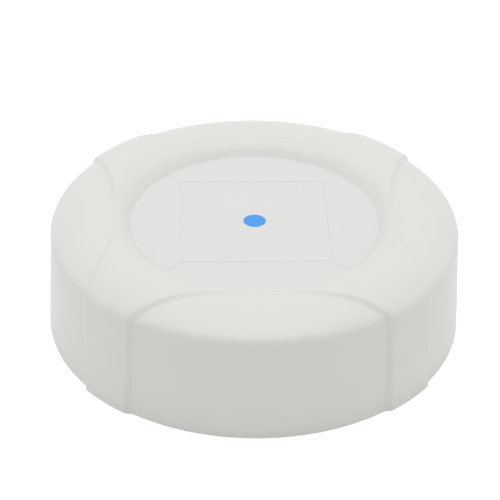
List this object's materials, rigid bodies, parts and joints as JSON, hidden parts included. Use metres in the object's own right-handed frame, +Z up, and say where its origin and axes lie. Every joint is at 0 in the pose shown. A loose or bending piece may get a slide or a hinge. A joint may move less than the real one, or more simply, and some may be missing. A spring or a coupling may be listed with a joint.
{
  "type": "bluetooth beacon",
  "caption": "Round puck-shaped radio beacon: domed plastic housing with a raised cross frame between shallow lobes, a recessed round label, a screwed base and AA cells inside.",
  "frame": {"origin": "middle of the underside, where the beacon stands on a surface", "axes": "+Z up out of the round label; +X and +Y through the middles of two neighbouring lobes, so the raised arms lie on the diagonals; -Y is the side nearest the picture's viewer"},
  "size_m": [0.085, 0.085, 0.0256],
  "materials": {
    "shell_plastic": "fine matt texture, warm white",
    "label_film": "smooth matt film, white",
    "base_plastic": "fine matt texture, white",
    "seal_rubber": "matt black",
    "screw_steel": "zinc plated",
    "board_laminate": "green solder mask",
    "holder_plastic": "black, matt",
    "cell_jacket": "glossy printed sleeve, plain blue",
    "contact_nickel": "nickel plated",
    "shield_tin": "bright tin plate",
    "chip_epoxy": "moulded epoxy",
    "antenna_ceramic": "glazed ceramic",
    "lamp_resin": "clear resin",
    "switch_black": "moulded black",
    "plunger_plastic": "moulded white",
    "capacitor_resin": "moulded yellow",
    "ferrite": "dark grey ferrite"
  },
  "bodies": {
    "housing": {"top_shell": "shell_plastic", "face_label": "label_film", "base_plate": "base_plastic", "seal_gasket": "seal_rubber", "case_screws": "screw_steel", "circuit_board": "board_laminate", "board_screws": "screw_steel", "battery_holder": "holder_plastic", "battery_cell_1": "cell_jacket", "battery_cell_2": "cell_jacket", "battery_cell_3": "cell_jacket", "battery_cell_4": "cell_jacket", "positive_terminal": "contact_nickel", "link_contact_1": "contact_nickel", "link_contact_2": "contact_nickel", "link_contact_3": "contact_nickel", "negative_terminal": "contact_nickel", "shield_can": "shield_tin", "radio_chip": "chip_epoxy", "crystal": "shield_tin", "chip_antenna": "antenna_ceramic", "status_led": "lamp_resin", "button_housing": "switch_black", "button_frame": "shield_tin", "switch_case": "shield_tin", "bulk_capacitor": "capacitor_resin", "power_inductor": "ferrite"},
    "plunger": {"button_plunger": "plunger_plastic"},
    "slider": {"switch_slider": "switch_black"}
  },
  "joints": [
    {"name": "pairing_button_press", "type": "slide", "parent": "housing", "child": "plunger", "axis": [0, 0, -1], "range_m": [0, 0.00025], "stiffness_N_per_m": 2000},
    {"name": "power_switch_slide", "type": "slide", "parent": "housing", "child": "slider", "axis": [1, 0, 0], "range_m": [0, 0.002]}
  ]
}
